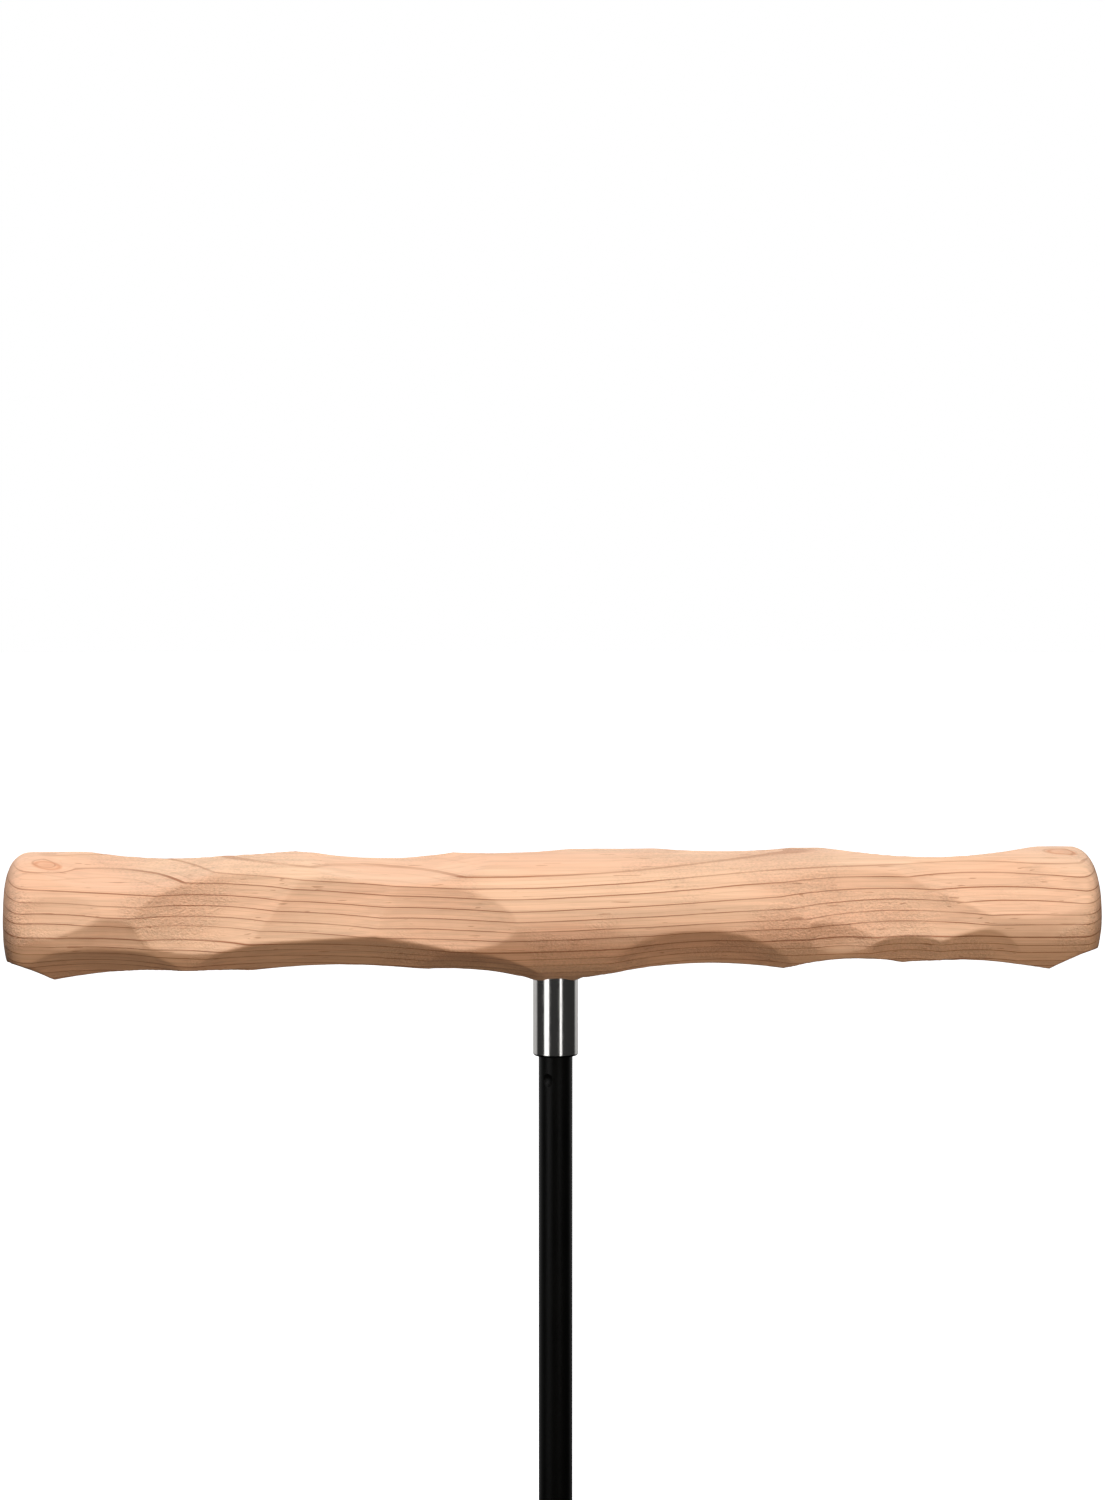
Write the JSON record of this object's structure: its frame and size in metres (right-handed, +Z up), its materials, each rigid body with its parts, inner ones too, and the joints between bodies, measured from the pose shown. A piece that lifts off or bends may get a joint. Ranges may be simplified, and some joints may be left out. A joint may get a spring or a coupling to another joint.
{
  "type": "bird t-stand",
  "caption": "Free-standing parrot T-stand: a carved softwood bar perch in a steel ferrule on a telescoping black pole with a clamp knob and a folding X-shaped base.",
  "frame": {"origin": "on the floor, under the centre of the pole", "axes": "+Z up along the pole, +X along the perch to the right as seen from the front, -Y toward the front"},
  "size_m": [0.457, 0.4122, 0.9766],
  "materials": {
    "carved_softwood": "carved and left bare",
    "insert_brass": "machined",
    "stainless": "turned and polished",
    "zinc_steel": "zinc plated",
    "black_steel": "black oxide",
    "pole_black": "satin powder coat",
    "base_black": "fine-textured powder coat",
    "plug_aluminium": "machined",
    "natural_nylon": "moulded",
    "black_nylon": "moulded, lightly textured",
    "foot_rubber": "moulded"
  },
  "bodies": {
    "stand": {"lower_tube": "pole_black", "tube_bush": "natural_nylon", "clamp_collar": "black_nylon", "collar_grub_screw": "black_steel", "clamp_pad": "insert_brass", "pole_socket": "base_black", "socket_grub_screws": "black_steel", "locating_pins": "zinc_steel", "pivot_bolt": "zinc_steel", "pivot_washer": "zinc_steel", "pivot_spring_washer": "zinc_steel", "thrust_washer": "natural_nylon", "upper_base_bar": "base_black", "upper_bar_feet": "foot_rubber"},
    "base_swing": {"lower_base_bar": "base_black", "lower_bar_feet": "foot_rubber"},
    "sliding_pole": {"upper_tube": "pole_black", "top_plug": "plug_aluminium", "tube_guide": "natural_nylon"},
    "perch_head": {"perch": "carved_softwood", "perch_insert": "insert_brass", "ferrule": "stainless", "ferrule_bolt": "zinc_steel", "ferrule_lock_washer": "zinc_steel", "ferrule_grub_screw": "black_steel"},
    "clamp_handle": {"clamp_screw": "zinc_steel", "clamp_knob": "black_nylon"}
  },
  "joints": [
    {"name": "base_fold", "type": "hinge", "parent": "stand", "child": "base_swing", "pos_m": [0, 0, 0.0245], "axis": [0, 0, 1], "range_deg": [0, 66]},
    {"name": "pole_extend", "type": "slide", "parent": "stand", "child": "sliding_pole", "axis": [0, 0, 1], "range_m": [-0.28, 0.15]},
    {"name": "perch_swivel", "type": "hinge", "parent": "sliding_pole", "child": "perch_head", "pos_m": [0, 0, 0.9], "axis": [0, 0, 1], "continuous": true},
    {"name": "clamp_turn", "type": "hinge", "parent": "stand", "child": "clamp_handle", "pos_m": [0.0395, 0, 0.545], "axis": [1, 0, 0], "range_deg": [0, 360]}
  ]
}
